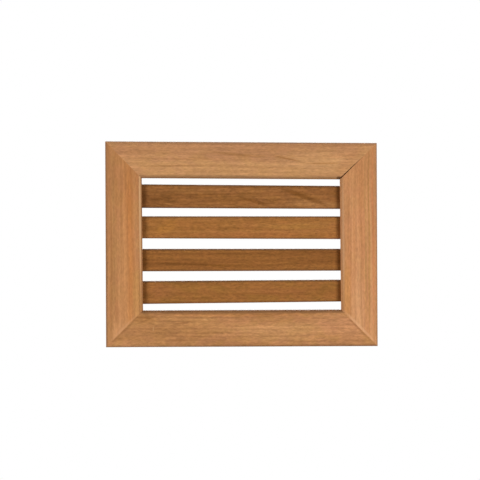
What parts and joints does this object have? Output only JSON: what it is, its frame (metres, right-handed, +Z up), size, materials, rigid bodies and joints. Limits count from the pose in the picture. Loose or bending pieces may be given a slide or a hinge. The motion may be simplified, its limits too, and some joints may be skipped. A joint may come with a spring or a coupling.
{
  "type": "sauna air vent",
  "caption": "Rectangular wooden sauna vent: a mitred, rebated frame with fixed flat slats nailed behind its opening, letting air through the gaps between them.",
  "frame": {"origin": "middle of the frame's back plane, on the face of the wall that it is fixed to", "axes": "+X to the right as seen from the room, +Y into the wall, +Z up"},
  "size_m": [0.2708, 0.018, 0.2054],
  "materials": {
    "rail_cedar": "planed and sanded bare wood, satin",
    "stile_cedar": "planed and sanded bare wood, satin",
    "slat_cedar_dark": "darker heartwood, planed, satin",
    "slat_cedar_warm": "warm brown heartwood, planed, satin",
    "nail_steel": "bright drawn steel"
  },
  "bodies": {
    "root": {"top_rail": "rail_cedar", "bottom_rail": "rail_cedar", "left_stile": "stile_cedar", "right_stile": "stile_cedar", "slat_1": "slat_cedar_dark", "slat_2": "slat_cedar_warm", "slat_3": "slat_cedar_dark", "slat_4": "slat_cedar_warm", "slat_brads": "nail_steel", "corner_v_nails": "nail_steel"}
  },
  "joints": []
}
